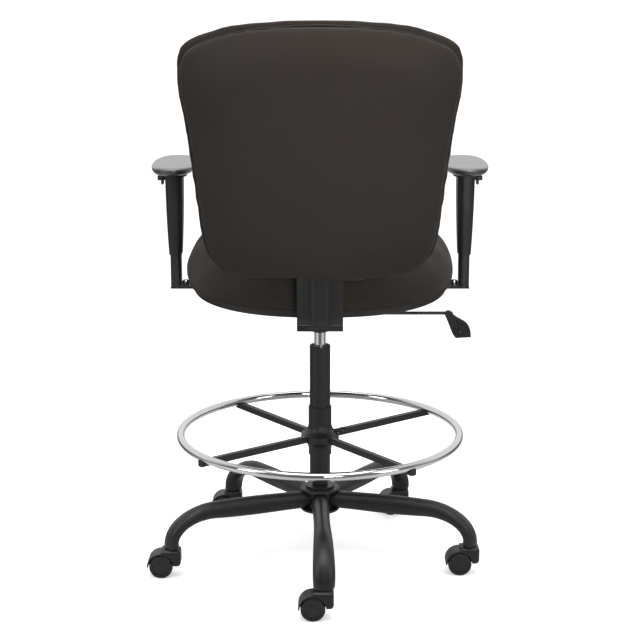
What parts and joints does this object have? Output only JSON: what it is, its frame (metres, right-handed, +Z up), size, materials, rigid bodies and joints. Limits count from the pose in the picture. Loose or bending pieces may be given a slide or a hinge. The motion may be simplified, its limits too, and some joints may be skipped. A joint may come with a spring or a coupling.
{
  "type": "drafting chair",
  "caption": "Tall swivel drafting chair: padded seat and back, height-set arms, chrome foot ring on a column and a five-leg caster base.",
  "frame": {"origin": "point of the floor under the column axis", "axes": "+Z up along the column, -Y the way the sitter faces, +X the sitter's left"},
  "size_m": [0.8127, 0.7467, 1.3186],
  "materials": {
    "black_powder": "fine satin powder coat",
    "chrome": "polished",
    "steel": "turned",
    "zinc": "zinc plated",
    "black_plastic": "fine moulded grain",
    "wheel_plastic": "smooth moulded nylon",
    "pad_skin": "soft self-skinned polyurethane",
    "fabric": "tight woven upholstery",
    "plywood": "bare birch ply"
  },
  "bodies": {
    "base": {"hub_tube": "black_powder", "hub_plates": "black_powder", "leg_1": "black_powder", "leg_2": "black_powder", "leg_3": "black_powder", "leg_4": "black_powder", "leg_5": "black_powder", "caster_sockets": "black_plastic", "caster_stems": "steel", "column_tube": "black_powder", "guide_bushing": "black_plastic", "thrust_bearing": "steel"},
    "spindle": {"piston_rod": "steel", "rod_clip": "steel"},
    "caster_1": {"caster_1_hood": "black_plastic"},
    "caster_1_roller": {"caster_1_wheels": "wheel_plastic"},
    "caster_2": {"caster_2_hood": "black_plastic"},
    "caster_2_roller": {"caster_2_wheels": "wheel_plastic"},
    "caster_3": {"caster_3_hood": "black_plastic"},
    "caster_3_roller": {"caster_3_wheels": "wheel_plastic"},
    "caster_4": {"caster_4_hood": "black_plastic"},
    "caster_4_roller": {"caster_4_wheels": "wheel_plastic"},
    "caster_5": {"caster_5_hood": "black_plastic"},
    "caster_5_roller": {"caster_5_wheels": "wheel_plastic"},
    "ring": {"foot_ring": "chrome", "ring_spokes": "black_powder", "ring_collar": "black_powder"},
    "ring_screw": {"ring_screw": "black_plastic"},
    "lift": {"gas_cylinder": "chrome", "mechanism_housing": "black_powder", "tilt_axle": "steel", "tension_spring": "steel"},
    "release": {"release_pin": "steel"},
    "rocker": {"lever_rocker": "black_plastic"},
    "lever": {"lever_rod": "black_powder", "lever_paddle": "black_plastic"},
    "seat": {"seat_plate": "black_powder", "back_bar": "black_powder", "bar_rib": "black_powder", "tension_bolt": "steel", "seat_bolts": "steel", "seat_shell": "black_plastic", "seat_board": "plywood", "seat_cushion": "fabric", "dome_bolts": "zinc", "left_arm_bracket": "black_powder", "right_arm_bracket": "black_powder"},
    "knob": {"tension_knob": "black_plastic"},
    "back": {"back_cushion": "fabric", "back_cover": "fabric", "back_board": "plywood", "ratchet_carrier": "black_plastic"},
    "left_arm": {"left_arm_sleeve": "black_plastic", "left_arm_pad": "pad_skin"},
    "left_button": {"left_arm_button": "black_plastic"},
    "right_arm": {"right_arm_sleeve": "black_plastic", "right_arm_pad": "pad_skin"},
    "right_button": {"right_arm_button": "black_plastic"}
  },
  "joints": [
    {"name": "seat_swivel", "type": "hinge", "parent": "base", "child": "spindle", "pos_m": [0, 0, 0.14], "axis": [0, 0, 1], "continuous": true},
    {"name": "seat_height", "type": "slide", "parent": "spindle", "child": "lift", "axis": [0, 0, 1], "range_m": [0, 0.25]},
    {"name": "release_press", "type": "slide", "parent": "lift", "child": "release", "axis": [0, 0, -1], "range_m": [0, 0.0045]},
    {"name": "lever_lift", "type": "hinge", "parent": "lift", "child": "rocker", "pos_m": [-0.05, 0, 0.628], "axis": [0, 1, 0], "range_deg": [0, 5], "stiffness_Nm_per_rad": 6, "springref_deg": -8.59},
    {"name": "lever_pull", "type": "slide", "parent": "rocker", "child": "lever", "axis": [-1, 0, 0], "range_m": [0, 0.012]},
    {"name": "seat_tilt", "type": "hinge", "parent": "lift", "child": "seat", "pos_m": [0, -0.075, 0.625], "axis": [-1, 0, 0], "range_deg": [0, 12], "stiffness_Nm_per_rad": 260, "springref_deg": -14.32, "deforming": ["tension_spring"]},
    {"name": "tension_turn", "type": "hinge", "parent": "seat", "child": "knob", "pos_m": [0, -0.13, 0.58], "axis": [0, 0, 1], "continuous": true},
    {"name": "back_height", "type": "slide", "parent": "seat", "child": "back", "axis": [0, 0.1478, 0.989], "range_m": [0, 0.06]},
    {"name": "ring_height", "type": "slide", "parent": "base", "child": "ring", "axis": [0, 0, 1], "range_m": [-0.055, 0.14]},
    {"name": "ring_screw_turn", "type": "hinge", "parent": "ring", "child": "ring_screw", "pos_m": [-0.055, 0, 0.324], "axis": [1, 0, 0], "continuous": true},
    {"name": "left_arm_height", "type": "slide", "parent": "seat", "child": "left_arm", "axis": [0, 0, 1], "range_m": [-0.06, 0.04]},
    {"name": "left_arm_release", "type": "slide", "parent": "left_arm", "child": "left_button", "axis": [-1, 0, 0], "range_m": [0, 0.003], "stiffness_N_per_m": 600, "springref_m": -0.002},
    {"name": "right_arm_height", "type": "slide", "parent": "seat", "child": "right_arm", "axis": [0, 0, 1], "range_m": [-0.06, 0.04]},
    {"name": "right_arm_release", "type": "slide", "parent": "right_arm", "child": "right_button", "axis": [1, 0, 0], "range_m": [0, 0.003], "stiffness_N_per_m": 600, "springref_m": -0.002},
    {"name": "caster_1_swivel", "type": "hinge", "parent": "base", "child": "caster_1", "pos_m": [-0.00917, 0.37539, 0.07], "axis": [0, 0, 1], "continuous": true},
    {"name": "caster_1_roll", "type": "hinge", "parent": "caster_1", "child": "caster_1_roller", "pos_m": [0.01583, 0.37539, 0.028], "axis": [0, 1, 0], "continuous": true},
    {"name": "caster_2_swivel", "type": "hinge", "parent": "base", "child": "caster_2", "pos_m": [-0.35985, 0.10728, 0.07], "axis": [0, 0, 1], "continuous": true},
    {"name": "caster_2_roll", "type": "hinge", "parent": "caster_2", "child": "caster_2_roller", "pos_m": [-0.33485, 0.10728, 0.028], "axis": [0, 1, 0], "continuous": true},
    {"name": "caster_3_swivel", "type": "hinge", "parent": "base", "child": "caster_3", "pos_m": [-0.21322, -0.30909, 0.07], "axis": [0, 0, 1], "continuous": true},
    {"name": "caster_3_roll", "type": "hinge", "parent": "caster_3", "child": "caster_3_roller", "pos_m": [-0.18823, -0.30909, 0.028], "axis": [0, 1, 0], "continuous": true},
    {"name": "caster_4_swivel", "type": "hinge", "parent": "base", "child": "caster_4", "pos_m": [0.22807, -0.2983, 0.07], "axis": [0, 0, 1], "continuous": true},
    {"name": "caster_4_roll", "type": "hinge", "parent": "caster_4", "child": "caster_4_roller", "pos_m": [0.25307, -0.2983, 0.028], "axis": [0, 1, 0], "continuous": true},
    {"name": "caster_5_swivel", "type": "hinge", "parent": "base", "child": "caster_5", "pos_m": [0.35418, 0.12473, 0.07], "axis": [0, 0, 1], "continuous": true},
    {"name": "caster_5_roll", "type": "hinge", "parent": "caster_5", "child": "caster_5_roller", "pos_m": [0.37918, 0.12473, 0.028], "axis": [0, 1, 0], "continuous": true}
  ],
  "couplings": [
    {"joint": "release_press", "follows": "lever_lift", "m_per_rad": 0.05}
  ]
}
